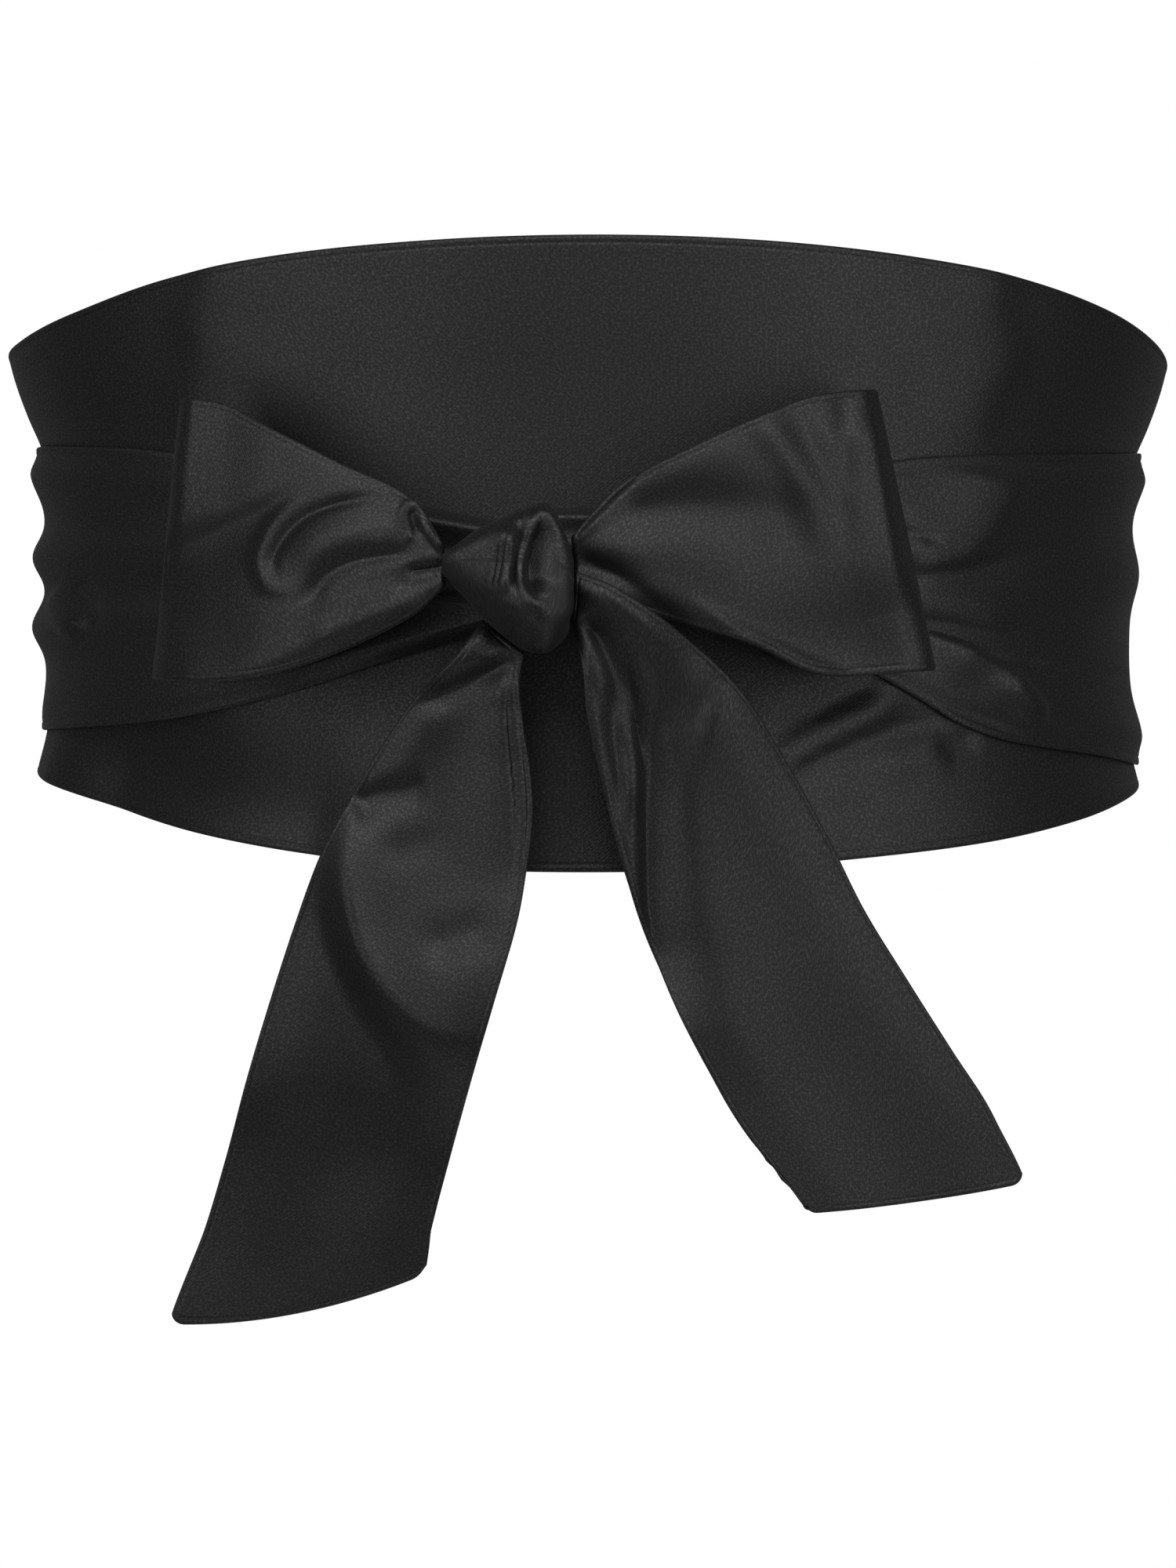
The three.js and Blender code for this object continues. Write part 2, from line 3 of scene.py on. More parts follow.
import bpy
import numpy as np
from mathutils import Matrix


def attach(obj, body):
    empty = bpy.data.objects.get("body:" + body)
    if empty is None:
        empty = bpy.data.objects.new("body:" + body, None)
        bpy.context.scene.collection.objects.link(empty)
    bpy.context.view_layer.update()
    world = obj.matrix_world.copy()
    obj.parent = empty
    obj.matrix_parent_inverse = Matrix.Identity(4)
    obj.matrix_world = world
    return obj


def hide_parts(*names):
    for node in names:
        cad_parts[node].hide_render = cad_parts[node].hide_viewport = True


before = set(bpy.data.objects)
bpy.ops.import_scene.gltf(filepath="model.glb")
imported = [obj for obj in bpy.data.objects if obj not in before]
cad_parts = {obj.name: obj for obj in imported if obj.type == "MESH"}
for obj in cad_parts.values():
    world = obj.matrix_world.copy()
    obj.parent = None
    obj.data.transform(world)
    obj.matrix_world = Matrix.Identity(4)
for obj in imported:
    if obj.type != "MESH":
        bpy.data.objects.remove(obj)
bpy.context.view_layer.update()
mm = 0.001
print("frame loaded")


# A table of named columns. Its first column rises, and the others are read smoothly between its rows.
def makeTable(names, rows):
    return {name: np.array(column, float) for name, column in zip(names.split(), zip(*rows))}


def columnAt(table, column, at):
    keys = next(iter(table.values()))
    values = table[column]
    ends = [0] + list(range(len(keys) - 1)), list(range(1, len(keys))) + [len(keys) - 1]
    slopes = (values[ends[1]] - values[ends[0]]) / (keys[ends[1]] - keys[ends[0]])
    at = np.clip(at, keys[0], keys[-1])
    i = np.clip(np.searchsorted(keys, at) - 1, 0, len(keys) - 2)
    span = keys[i + 1] - keys[i]
    t = (at - keys[i]) / span
    rise = values[i + 1] - values[i]
    bend = (1 - t) * (slopes[i] * span - rise) - t * (slopes[i + 1] * span - rise)
    return values[i] + t * rise + t * (1 - t) * bend


def smoothStep(value, low, high):
    t = np.clip((value - low) / (high - low), 0, 1)
    return t * t * (3 - 2 * t)


def mix(a, b, share):
    return a + (b - a) * share


# Shares of an open crease's path over which it fades in and out at its ends
creaseFade = (-0.02, 0.24)


# A crease follows a path in the front view. Width and rise go from the path's start to its end.
# The far width is the one on the right of the way along the path.
def crease(path, width, rise, farWidth=None, endWidth=None, endRise=None, closed=False):
    return {
        "path": np.array(path, float),
        "width": (width, width if endWidth is None else endWidth),
        "far": 1 if farWidth is None else farWidth / width,
        "rise": (rise, rise if endRise is None else endRise),
        "closed": closed,
    }


def dimple(start, end, width, rise):
    return crease([start, end], width, rise, closed=True)


def roundedPath(points, count=18):
    if len(points) < 3:
        return points
    table = {"t": np.arange(len(points), dtype=float), "x": points[:, 0], "z": points[:, 1]}
    t = np.linspace(0, len(points) - 1, count)
    return np.stack([columnAt(table, "x", t), columnAt(table, "z", t)], axis=1)


def creaseRise(creases, x, z):
    total = np.zeros_like(x)
    for row in creases:
        path = roundedPath(row["path"])
        nearest = np.full_like(x, np.inf)
        place = np.zeros_like(x)
        onRight = np.zeros(x.shape, bool)
        steps = len(path) - 1
        for k in range(steps):
            dx, dz = path[k + 1] - path[k]
            fromX, fromZ = x - path[k, 0], z - path[k, 1]
            share = np.clip((fromX * dx + fromZ * dz) / (dx * dx + dz * dz), 0, 1)
            away = np.hypot(fromX - share * dx, fromZ - share * dz)
            closer = away < nearest
            nearest = np.where(closer, away, nearest)
            place = np.where(closer, (k + share) / steps, place)
            onRight = np.where(closer, dx * fromZ - dz * fromX < 0, onRight)
        width = mix(*row["width"], place) * np.where(onRight, row["far"], 1)
        rise = mix(*row["rise"], place) * np.exp(-((nearest / width) ** 2))
        if not row["closed"]:
            rise = rise * smoothStep(place, *creaseFade) * smoothStep(1 - place, *creaseFade)
        total += rise
    return total


# Crests run the whole length of a tie. Each has a place and a width, as shares across it, and a height.
def crestRise(crests, across):
    return sum(height * np.exp(-(((across - at) / width) ** 2)) for at, width, height in crests)


# Slow, uneven swell of cloth that hangs free, the same each run
swellLook = {
    "waves": 7,
    "pitches": (0.7, 1.8),  # shortest and longest, as shares of the swell's size
    "lastPhase": 6.28,
}


def softSwell(u, v, seed, size):
    look = swellLook
    rng = np.random.default_rng(seed)
    total = np.zeros_like(u)
    for _ in range(look["waves"]):
        turn = rng.uniform(0, 2 * math.pi)
        pitch = size * rng.uniform(*look["pitches"])
        along = u * math.cos(turn) + v * math.sin(turn)
        total += np.sin(along * 2 * math.pi / pitch + rng.uniform(0, look["lastPhase"]))
    return total / look["waves"]


# Rolled edges and their stitch line. Places and widths are in widths of the roll.
edgeLook = {
    "steps": np.array([0, 0.12, 0.35, 0.65, 1, 1.35, 1.6, 1.85, 2.1, 2.4]),
    "thinnest": 0.12,  # share of the wall left at the very edge
    "stitchAt": 1.85,
    "stitchWidth": 0.22,
    "stitchDepth": 0.25,  # share of the wall that the stitching presses in
}


# Shares from 0 to 1 that crowd towards both ends, where an edge is rolled
def edgeShares(count, length, roll):
    near = edgeLook["steps"] * roll / length
    inner = np.linspace(near[-1], 1 - near[-1], count)[1:-1]
    return np.concatenate([near, inner, 1 - near[::-1]])


# Shares across a piece that fall a little unevenly, so that its folds aren't all alike
def unevenShares(across, amount=0.05):
    return across + amount * np.sin(2 * math.pi * across)


def surfaceNormals(grid, ring):
    if ring:
        along = np.roll(grid, -1, axis=0) - np.roll(grid, 1, axis=0)
    else:
        along = np.gradient(grid, axis=0)
    across = np.gradient(grid, axis=1)
    normals = np.cross(along, across)
    return normals / np.maximum(np.linalg.norm(normals, axis=2, keepdims=True), 1e-9)


def lengthAlong(grid, axis):
    steps = np.linalg.norm(np.diff(grid, axis=axis), axis=2)
    start = np.zeros_like(np.take(steps, [0], axis=axis))
    return np.concatenate([start, np.cumsum(steps, axis=axis)], axis=axis)


# How far each point of a grid lies from the nearest rolled edge
def edgeDistance(acrossLength, alongLength, rollEnds):
    edge = np.minimum(acrossLength, acrossLength[:, -1:] - acrossLength)
    if rollEnds[0]:
        edge = np.minimum(edge, alongLength)
    if rollEnds[1]:
        edge = np.minimum(edge, alongLength[-1:] - alongLength)
    return edge


def halfWall(edge, wall, roll):
    look = edgeLook
    share = np.clip(edge / roll, 0, 1)
    half = wall / 2 * mix(look["thinnest"], 1, np.sqrt(1 - (1 - share) ** 2))
    fromStitch = (edge / roll - look["stitchAt"]) / look["stitchWidth"]
    return half * (1 - look["stitchDepth"] * np.exp(-(fromStitch ** 2)))


# Faces of a closed wall: its two sides, then the strips that join them at the edges
def wallFaces(rows, columns, ring):
    layer = rows * columns
    index = np.arange(layer).reshape(rows, columns)
    nextRow = np.roll(index, -1, axis=0) if ring else index[1:]
    thisRow = index if ring else index[:-1]
    corners = np.stack([thisRow[:, :-1], nextRow[:, :-1], nextRow[:, 1:], thisRow[:, 1:]], axis=2)
    corners = corners.reshape(-1, 4)
    faces = [corners, corners[:, ::-1] + layer]
    edges = [(thisRow[:, 0], nextRow[:, 0], False), (thisRow[:, -1], nextRow[:, -1], True)]
    if not ring:
        edges += [(index[0, :-1], index[0, 1:], True), (index[-1, :-1], index[-1, 1:], False)]
    for here, there, flip in edges:
        strip = np.stack([here, here + layer, there + layer, there], axis=1)
        faces.append(strip[:, ::-1] if flip else strip)
    return np.concatenate(faces)


# Where each face corner lies on the flat cloth, in metres. The back is set apart from the front.
def clothPlaces(faces, acrossLength, alongLength, ring, backShift=(0.5, 0)):
    rows, columns = acrossLength.shape
    flat = np.stack([acrossLength, alongLength], axis=2).reshape(-1, 2) * mm
    places = np.concatenate([flat, flat + backShift])[faces]
    if ring:  # the last strip joins the first, so its far side carries on instead of starting again
        faceRows = (faces % (rows * columns)) // columns
        joins = (faceRows.max(axis=1) == rows - 1) & (faceRows.min(axis=1) == 0)
        girth = alongLength[-1].max() * mm * (1 + 1 / rows)
        places[..., 1] += (joins[:, None] & (faceRows == 0)) * girth
    return places


# A thin closed cloth wall about a grid of points in millimetres. Its edges are rolled, not cut square.
def makeCloth(name, grid, wall, roll, ring=False, rollEnds=(True, True)):
    rows, columns = grid.shape[:2]
    acrossLength = lengthAlong(grid, 1)
    alongLength = lengthAlong(grid, 0)
    edge = edgeDistance(acrossLength, alongLength, (False, False) if ring else rollEnds)
    offset = surfaceNormals(grid, ring) * halfWall(edge, wall, roll)[..., None]
    points = np.concatenate([(grid + offset).reshape(-1, 3), (grid - offset).reshape(-1, 3)]) * mm
    faces = wallFaces(rows, columns, ring)
    mesh = bpy.data.meshes.new(name)
    mesh.vertices.add(len(points))
    mesh.vertices.foreach_set("co", points.ravel())
    mesh.loops.add(faces.size)
    mesh.loops.foreach_set("vertex_index", faces.ravel().astype(np.int32))
    mesh.polygons.add(len(faces))
    mesh.polygons.foreach_set("loop_start", np.arange(0, faces.size, 4, dtype=np.int32))
    mesh.polygons.foreach_set("use_smooth", np.ones(len(faces), bool))
    mesh.update(calc_edges=True)
    places = clothPlaces(faces, acrossLength, alongLength, ring)
    mesh.uv_layers.new(name="cloth").data.foreach_set("uv", places.ravel())
    mesh.validate()
    piece = bpy.data.objects.new(name, mesh)
    bpy.context.collection.objects.link(piece)
    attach(piece, "root")
    return piece


# Satin: long floats that lie across the light, a faint twill line and a fine sparkle
satinLook = {
    "colour": (0.0085, 0.0085, 0.0088, 1),
    "roughness": 0.48,
    "roughnessSpread": 0.16,
    "threadPitch": 0.00075,  # metres between twill lines
    "twillSlant": 0.8,
    "twill": 0.25,
    "grain": 1.0,
    "grainNoise": (1650, 2),  # scale and detail
    "cloudNoise": (70, 3),
    "sparkle": 0.75,
    "sparkleFrom": 0.46,  # grain below this doesn't glint
    "sparkleGain": 5.4,
    "sparkleRoughness": 0.42,
    "weaveDepth": 0.00005,  # metres
    "anisotropic": 0.5,
    "specular": 0.5,
    "sheen": 0.03,
    "sheenRoughness": 0.45,
}


def weaveGroup(look):
    group = bpy.data.node_groups.new("satinWeave", "ShaderNodeTree")
    for name in ("Thread Pitch", "Twill", "Grain", "Sparkle"):
        group.interface.new_socket(name, in_out="INPUT", socket_type="NodeSocketFloat")
    for name in ("Shade", "Height", "Roughness", "Glint"):
        group.interface.new_socket(name, in_out="OUTPUT", socket_type="NodeSocketFloat")
    nodes, links = group.nodes, group.links
    inputs, outputs = nodes.new("NodeGroupInput").outputs, nodes.new("NodeGroupOutput").inputs
    place = nodes.new("ShaderNodeUVMap")
    place.uv_map = "cloth"
    split = nodes.new("ShaderNodeSeparateXYZ")
    links.new(place.outputs["UV"], split.inputs[0])

    def calc(kind, a, b=0.0):
        node = nodes.new("ShaderNodeMath")
        node.operation = kind
        for socket, value in zip(node.inputs, (a, b)):
            if isinstance(value, (int, float)):
                socket.default_value = value
            else:
                links.new(value, socket)
        return node.outputs[0]

    def noise(scale, detail):
        node = nodes.new("ShaderNodeTexNoise")
        node.inputs["Scale"].default_value = scale
        node.inputs["Detail"].default_value = detail
        links.new(place.outputs["UV"], node.inputs["Vector"])
        return node.outputs["Fac"]

    slant = calc("ADD", split.outputs["X"], calc("MULTIPLY", split.outputs["Y"], look["twillSlant"]))
    lines = calc("SINE", calc("DIVIDE", calc("MULTIPLY", slant, 2 * math.pi), inputs["Thread Pitch"]))
    grain = noise(*look["grainNoise"])
    cloud = noise(*look["cloudNoise"])
    ribs = calc("MULTIPLY", lines, calc("MULTIPLY", inputs["Twill"], 0.5))
    height = calc("ADD", calc("MULTIPLY", grain, inputs["Grain"]), ribs)
    glint = calc("MULTIPLY", calc("SUBTRACT", grain, look["sparkleFrom"]), look["sparkleGain"])
    uneven = calc("MULTIPLY", calc("SUBTRACT", cloud, 0.5), look["roughnessSpread"])
    links.new(calc("ADD", 0.5, grain), outputs["Shade"])  # about 1, so the colour keeps its level
    links.new(height, outputs["Height"])
    links.new(uneven, outputs["Roughness"])
    links.new(calc("MULTIPLY", calc("MAXIMUM", glint, 0.0), inputs["Sparkle"]), outputs["Glint"])
    return group


satinWeave = weaveGroup(satinLook)


def makeSatin(name, look):
    material = bpy.data.materials.new(name)
    material.use_nodes = True
    nodes, links = material.node_tree.nodes, material.node_tree.links
    shader = nodes["Principled BSDF"]
    weave = nodes.new("ShaderNodeGroup")
    weave.node_tree = satinWeave
    weave.inputs["Thread Pitch"].default_value = look["threadPitch"]
    weave.inputs["Twill"].default_value = look["twill"]
    weave.inputs["Grain"].default_value = look["grain"]
    weave.inputs["Sparkle"].default_value = look["sparkle"]
    tint = nodes.new("ShaderNodeMix")
    tint.data_type = "RGBA"
    tint.blend_type = "MULTIPLY"
    tint.inputs["Factor"].default_value = 1
    tint.inputs["A"].default_value = look["colour"]
    links.new(weave.outputs["Shade"], tint.inputs["B"])
    links.new(tint.outputs["Result"], shader.inputs["Base Color"])
    rough = nodes.new("ShaderNodeMath")
    rough.operation = "ADD"
    rough.inputs[0].default_value = look["roughness"]
    links.new(weave.outputs["Roughness"], rough.inputs[1])
    links.new(rough.outputs[0], shader.inputs["Roughness"])
    links.new(weave.outputs["Glint"], shader.inputs["Coat Weight"])
    shader.inputs["Coat Roughness"].default_value = look["sparkleRoughness"]
    bump = nodes.new("ShaderNodeBump")
    bump.inputs["Strength"].default_value = 1
    bump.inputs["Distance"].default_value = look["weaveDepth"]
    links.new(weave.outputs["Height"], bump.inputs["Height"])
    links.new(bump.outputs["Normal"], shader.inputs["Normal"])
    tangent = nodes.new("ShaderNodeTangent")
    tangent.direction_type = "UV_MAP"
    tangent.uv_map = "cloth"
    links.new(tangent.outputs["Tangent"], shader.inputs["Tangent"])
    shader.inputs["Anisotropic"].default_value = look["anisotropic"]
    shader.inputs["Specular IOR Level"].default_value = look["specular"]
    shader.inputs["Sheen Weight"].default_value = look["sheen"]
    shader.inputs["Sheen Roughness"].default_value = look["sheenRoughness"]
    return material


blackSatin = makeSatin("blackSatin", satinLook)


def dress(piece, node):
    piece.data.materials.append(blackSatin)
    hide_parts(node)


# The waist oval and the panel, in millimetres and degrees from the front
panelLook = {
    "halfWidth": 121,
    "halfDepth": 95,
    "frontFlare": 0.2,
    "wall": 1.6,
    "roll": 0.9,
    "steps": (190, 52),  # round the waist and from edge to edge
    "meanHeight": 110,
    "degreeLength": 2.1,  # millimetres round the waist in a degree
    "swell": 0.35,
    "swellSize": 60,
    "seeds": (3, 4),
    "creaseReach": (0, 30),  # millimetres in front of the middle where creases start and are full
    "seamAngle": -2.4,
    "seamGap": 0.002,  # on either side, a hair line in all
    "seamSteps": np.array([0.015, 0.15, 0.3, 0.5, 0.9]),
    "seamDip": 0.05,
    "seamDipWidth": 0.35,
    "seamCalm": 5,  # the swell fades out this near, so that the halves meet evenly
    "endAngle": 152.28,
    "edges": makeTable("angle top bottom flare", [
        (-152, 33, -36, 0.4), (-120, 40.5, -42, 0.8), (-90, 47.5, -47.5, 1), (-75, 50, -50.8, 1),
        (-60, 54.2, -56.3, 1), (-45, 60, -61.6, 1), (-30, 64.4, -65.8, 1), (-15, 66.7, -68.6, 1),
        (0, 67.6, -69.4, 1), (15, 66.9, -68.6, 1), (30, 64.6, -66.2, 1), (45, 60.8, -63, 1),
        (60, 55.4, -58.6, 1), (75, 49.6, -54, 1), (90, 45, -50.5, 1), (120, 38.5, -44, 0.8),
        (152, 33, -36, 0.4),
    ]),
    "profile": makeTable("share out", [
        (-1, 4.6), (-0.8, 2.2), (-0.5, 0.3), (0, 0), (0.35, 1.2), (0.55, 3.4), (0.7, 6.4), (0.85, 9),
        (1, 11),
    ]),
    "creases": [
        # where the tie pulls the panel, lower right
        crease([(36, -49), (51.8, -39.4), (70, -30)], 3.0, 2.0, endRise=1.6),
        crease([(34, -44), (53, -33), (66, -27)], 3.0, -1.1),
        crease([(40, -49.5), (61, -41), (82, -35)], 2.6, -1.8, endRise=-1.2),
        dimple((77.5, -42), (83, -40.8), 1.7, -1.3),
        crease([(60, -48), (72, -44.5), (80, -44.8)], 3.0, 0.8),
        # faint bends at both sides
        crease([(92, 80), (87, 54), (90, 43), (85, 33), (83, 19)], 6, 1.0, farWidth=10),
        crease([(-77, 80), (-80, 60), (-84, 51), (-82.5, 43), (-86, 33), (-87, 21)], 10, 1.0, farWidth=6),
        # where the panel turns under, lower left
        crease([(-122, -47), (-106, -53), (-86, -59), (-66, -63), (-40, -67)], 20, -8.0, endRise=-7.0),
    ],
}


def waistPoints(angle, z, lift):
    look = panelLook
    turned = np.mod(angle + 180, 360) - 180
    top = columnAt(look["edges"], "top", turned)
    bottom = columnAt(look["edges"], "bottom", turned)
    share = 2 * (z - bottom) / (top - bottom) - 1
    out = columnAt(look["edges"], "flare", turned) * columnAt(look["profile"], "out", share)
    halfWidth = look["halfWidth"] + out
    halfDepth = look["halfDepth"] + look["frontFlare"] * out
    side, front = np.sin(np.radians(angle)), np.cos(np.radians(angle))
    length = np.hypot(side / halfWidth, front / halfDepth)
    x = halfWidth * side + lift * side / halfWidth / length
    y = -halfDepth * front - lift * front / halfDepth / length
    return np.stack([x, y, z + 0 * x], axis=-1)


# One half of the panel, left (-1) or right (1) of the seam
def makePanel(name, side, seed):
    look = panelLook
    seam = look["seamAngle"]
    alongSteps, acrossSteps = look["steps"]
    ends = sorted((seam + side * look["seamGap"], side * look["endAngle"]))
    angles = np.union1d(np.linspace(*ends, alongSteps), seam + side * look["seamSteps"])
    shares = edgeShares(acrossSteps, look["meanHeight"], look["roll"])
    angle, share = np.meshgrid(angles, shares, indexing="ij")
    top = columnAt(look["edges"], "top", angle)
    bottom = columnAt(look["edges"], "bottom", angle)
    z = mix(top, bottom, share)
    flat = waistPoints(angle, z, 0 * z)
    calm = 1 - np.exp(-(((angle - seam) / look["seamCalm"]) ** 2))
    lift = look["swell"] * calm * softSwell(angle * look["degreeLength"], z, seed, look["swellSize"])
    front = smoothStep(-flat[..., 1], *look["creaseReach"])
    lift += front * creaseRise(look["creases"], flat[..., 0], z)
    lift -= look["seamDip"] * np.exp(-(((angle - seam) / look["seamDipWidth"]) ** 2))
    rollEnds = (side < 0, side > 0)  # not at the seam
    piece = makeCloth(name, waistPoints(angle, z, lift), look["wall"], look["roll"], rollEnds=rollEnds)
    dress(piece, name)
    return piece


panelLeft = makePanel("panel_left", -1, panelLook["seeds"][0])
panelRight = makePanel("panel_right", 1, panelLook["seeds"][1])
panelLeft.name, panelRight.name = "panelLeft", "panelRight"
print("panel halves made")

# Ties round the waist, from the seam at the panel's end, past the back, to the knot
wrapLook = {  # what both share
    "wall": 1.1,
    "roll": 1.0,
    "stepRoll": 0.8,
    "steps": (300, 76),
    "meanWidth": 62,
    "creaseReach": (-10, 25),  # millimetres in front of the middle where creases start and are full
    "behind": (125, 140),  # degrees, from where the edges no longer lie on the panel
    "beside": (20, 34),  # degrees, from where the edges come down from the knot to the panel
    "knotEdge": 0.5,  # share of the lift that the edges keep at the knot
    "edgeLift": 1.6,
    "edgeShare": 0.1,
    "slack": 0.2,  # how far creases may sink below the lift
    "swell": 0.4,
    "swellSize": 18,
    "swellSpan": (0.9, 60),  # millimetres in a degree, and across
}
wrapColumns = "angle top bottom lift gather"
leftWrapLook = {
    "rows": makeTable(wrapColumns, [
        (-207.6, 33, -36, 0, 0), (-196, 10, -36.5, 0, 0.19), (-187, 1.5, -36.2, 0.3, 0.5),
        (-180, -0.8, -36.2, 1.25, 0.8), (-173, -0.5, -36.5, 2.3, 0.94), (-164, 5, -37.5, 3, 0.94),
        (-150, 20, -38, 2.6, 0.81), (-120, 26, -38, 2.4, 0.81), (-90, 26.6, -38, 2.4, 1),
        (-66, 25, -37.7, 2.4, 0.5), (-48, 22.5, -36, 2.5, 0.4), (-34, 17, -31.5, 2.7, 0.7),
        (-22, 12, -25, 6, 0.3), (-6.5, 4.6, -15.5, 11.2, 0.2),
    ]),
    "crests": [(0.1, 0.085, 1.9), (0.39, 0.075, 3.4), (0.635, 0.08, 3.4)],
    "creases": [
        crease([(-118, -6), (-114, -12), (-110, -18)], 2.6, 1.6),
        crease([(-111, -4), (-108, -11), (-106, -17)], 2.0, -1.4),
    ],
    "seed": 11,
}
rightWrapLook = {
    "rows": makeTable(wrapColumns, [
        (-5, 8.5, -12, 10, 0.2), (10, 9.5, -16, 5.8, 0.2), (22, 14.5, -21.5, 2.8, 0.5),
        (30, 18.6, -26.3, 2.2, 0.3), (36, 20.6, -32, 2.0, 0.15), (41, 21.3, -37, 2.0, 0.1),
        (48, 22, -40.8, 2.0, 0.1), (62, 23, -43.4, 2.2, 0.3), (90, 25.5, -46, 2.4, 0.8),
        (120, 28, -41, 2.4, 0.73), (150, 33, -22, 2.6, 0.87), (164, 36.5, -5, 3, 1),
        (173, 36, 0.5, 2.3, 0.94), (180, 36, 0.8, 1.25, 0.8),
        (187, 36.2, -1.5, 0.3, 0.5), (196, 36.5, -10, 0, 0.19), (207.6, 33, -36, 0, 0),
    ]),
    "crests": [(0.09, 0.09, 2.2), (0.39, 0.1, 3.2), (0.9, 0.09, 1.6)],
    "creases": [
        crease([(66, -4), (72, -2.2), (80, 1), (86, 7), (90, 15), (91, 22)], 12, 2.2, farWidth=5.0),
        crease([(62, -6), (79.6, -3.4), (90.6, -0.6), (108, 3)], 1.8, -0.9, endRise=-0.4),
        dimple((66, 4.6), (72.4, 3.0), 1.5, -0.7),
        crease([(60, -11), (78, -11), (94, -13)], 3.2, 1.0, farWidth=4.4),
        crease([(62, -14), (82, -17.4), (99, -25)], 2.0, -0.8),
        crease([(70, -17.4), (82, -21.8), (90, -26.6), (96.5, -33), (99, -40)], 0.9, 4.2,
               farWidth=7, endRise=1.6),
        dimple((90.5, -29.5), (94, -33.5), 4.0, 2.2),
        crease([(74, -36), (88, -37.6), (98, -36)], 3.0, -1.1),
    ],
    "seed": 12,
}


def makeWrap(name, look):
    both = wrapLook
    rows = look["rows"]
    alongSteps, acrossSteps = both["steps"]
    angles = np.linspace(rows["angle"][0], rows["angle"][-1], alongSteps)
    shares = edgeShares(acrossSteps, both["meanWidth"], both["stepRoll"])
    angle, share = np.meshgrid(angles, shares, indexing="ij")
    z = mix(columnAt(rows, "top", angle), columnAt(rows, "bottom", angle), share)
    base = waistPoints(angle, z, 0 * z)
    front = smoothStep(-base[..., 1], *both["creaseReach"])
    low = columnAt(rows, "lift", angle)
    gather = columnAt(rows, "gather", angle)
    beside = smoothStep(np.abs(angle), *both["beside"])
    onPanel = mix(both["knotEdge"] * low, np.minimum(low, both["edgeLift"]), beside)
    edge = smoothStep(np.minimum(share, 1 - share), 0, both["edgeShare"])
    close = 1 - smoothStep(np.abs(angle), *both["behind"])
    low = mix(low, onPanel, close * (1 - edge))  # the edges lie on the panel
    lift = low + edge * gather * crestRise(look["crests"], share)
    lift += edge * front * creaseRise(look["creases"], base[..., 0], z)
    degreeLength, width = both["swellSpan"]
    swell = both["swell"] * softSwell(angle * degreeLength, share * width, look["seed"], both["swellSize"])
    lift += edge * gather * swell
    grid = waistPoints(angle, z, np.maximum(lift, low - both["slack"]))
    piece = makeCloth(name, grid, both["wall"], both["roll"])
    dress(piece, name)
    return piece


wrapLeft = makeWrap("wrap_left", leftWrapLook)
wrapRight = makeWrap("wrap_right", rightWrapLook)
wrapLeft.name, wrapRight.name = "wrapLeft", "wrapRight"
print("ties round the waist made")

# Loops of the bow, from the knot (0) to the turn (1)
loopLook = {  # what both share
    "wall": 1.1,
    "roll": 0.8,
    "stepRoll": 0.7,
    "alongSteps": (130, 31, 60),  # front layer, turn and back layer
    "acrossSteps": 96,
    "meanWidth": 58,
    "turn": 4.5,
    "turnFade": (0.2, 1),  # how the front's and the back's own folds fade at the turn
    "gathers": 3,
    "frontGathers": 0.35,  # share of the gathers that the front shows
    "swell": 0.35,
    "backSwell": 2.4,  # times as much on the hidden layer
    "swellSize": 26,
}
loopColumns = "reach topX topZ lowX lowZ depth half swell gather"
leftLoopLook = {
    "rows": makeTable(loopColumns, [
        (0, -30.4, -0.6, -30.4, -8.6, -116.5, 2.2, 0, 0.8),
        (0.13, -37, 9.8, -37, -14.4, -112.5, 4.6, 1.2, 2.0),
        (0.37, -52.3, 17.6, -52.3, -21.8, -106, 7, 1.5, 1.4),
        (0.61, -67.6, 25.5, -68, -26.8, -100.5, 6.5, 1.0, 0.4),
        (0.8, -77.6, 30.9, -80.6, -28.3, -95.5, 5.5, 0.5, 0),
        (1, -87.4, 32.8, -94, -27.8, -91.5, 4.5, 0, 0),
    ]),
    "creases": [
        crease([(-116, -11), (-100, -5), (-85, 0.8), (-77, 3.8), (-69, 7.4), (-57, 12.6)], 5.0, -3.2,
               farWidth=11, endWidth=2.6, endRise=-1.6),
        crease([(-57, 13), (-65.7, 6.3), (-69.4, 0), (-69.8, -4.5), (-67.4, -8.3), (-60, -9.4)], 1.9, 1.2),
        crease([(-39, 10.6), (-51, 9.5), (-59.5, 6.4), (-65, 1.1), (-67, -3.2), (-65, -6.4)], 1.5, -0.95),
        crease([(-64, -4), (-54.5, 1.7), (-45.5, 3.4), (-37, 2.4)], 4.0, 1.5),
        crease([(-33, -1.2), (-45.5, -2.3), (-52.8, -4.3), (-57.3, -8.6), (-58.6, -14.5)], 1.6, -1.5,
               endWidth=2.8, endRise=-1.2),
        crease([(-60, -21), (-48, -15.6), (-34, -11)], 5.4, 1.7, farWidth=2.0),
        crease([(-39, -5.4), (-34, -4.8), (-29, -4)], 1.2, -1.4),
        crease([(-37.8, 2), (-39.2, 6), (-37.6, 8.8), (-35, 7.4), (-34.2, 4.2), (-31.5, 0.4)], 0.9, 0.8,
               closed=True),
        dimple((-37.2, 6.6), (-36.2, 4.0), 1.3, -1.1),
        crease([(-96, -29), (-84, -27.5), (-75, -26), (-63.5, -22), (-48, -16.5)], 8.0, 1.9, farWidth=4.0),
    ],
    "sag": {"x": -104, "z": -16, "halfWidth": 17.5, "halfHeight": 22, "depth": 12.5},
    "seed": 21,
}
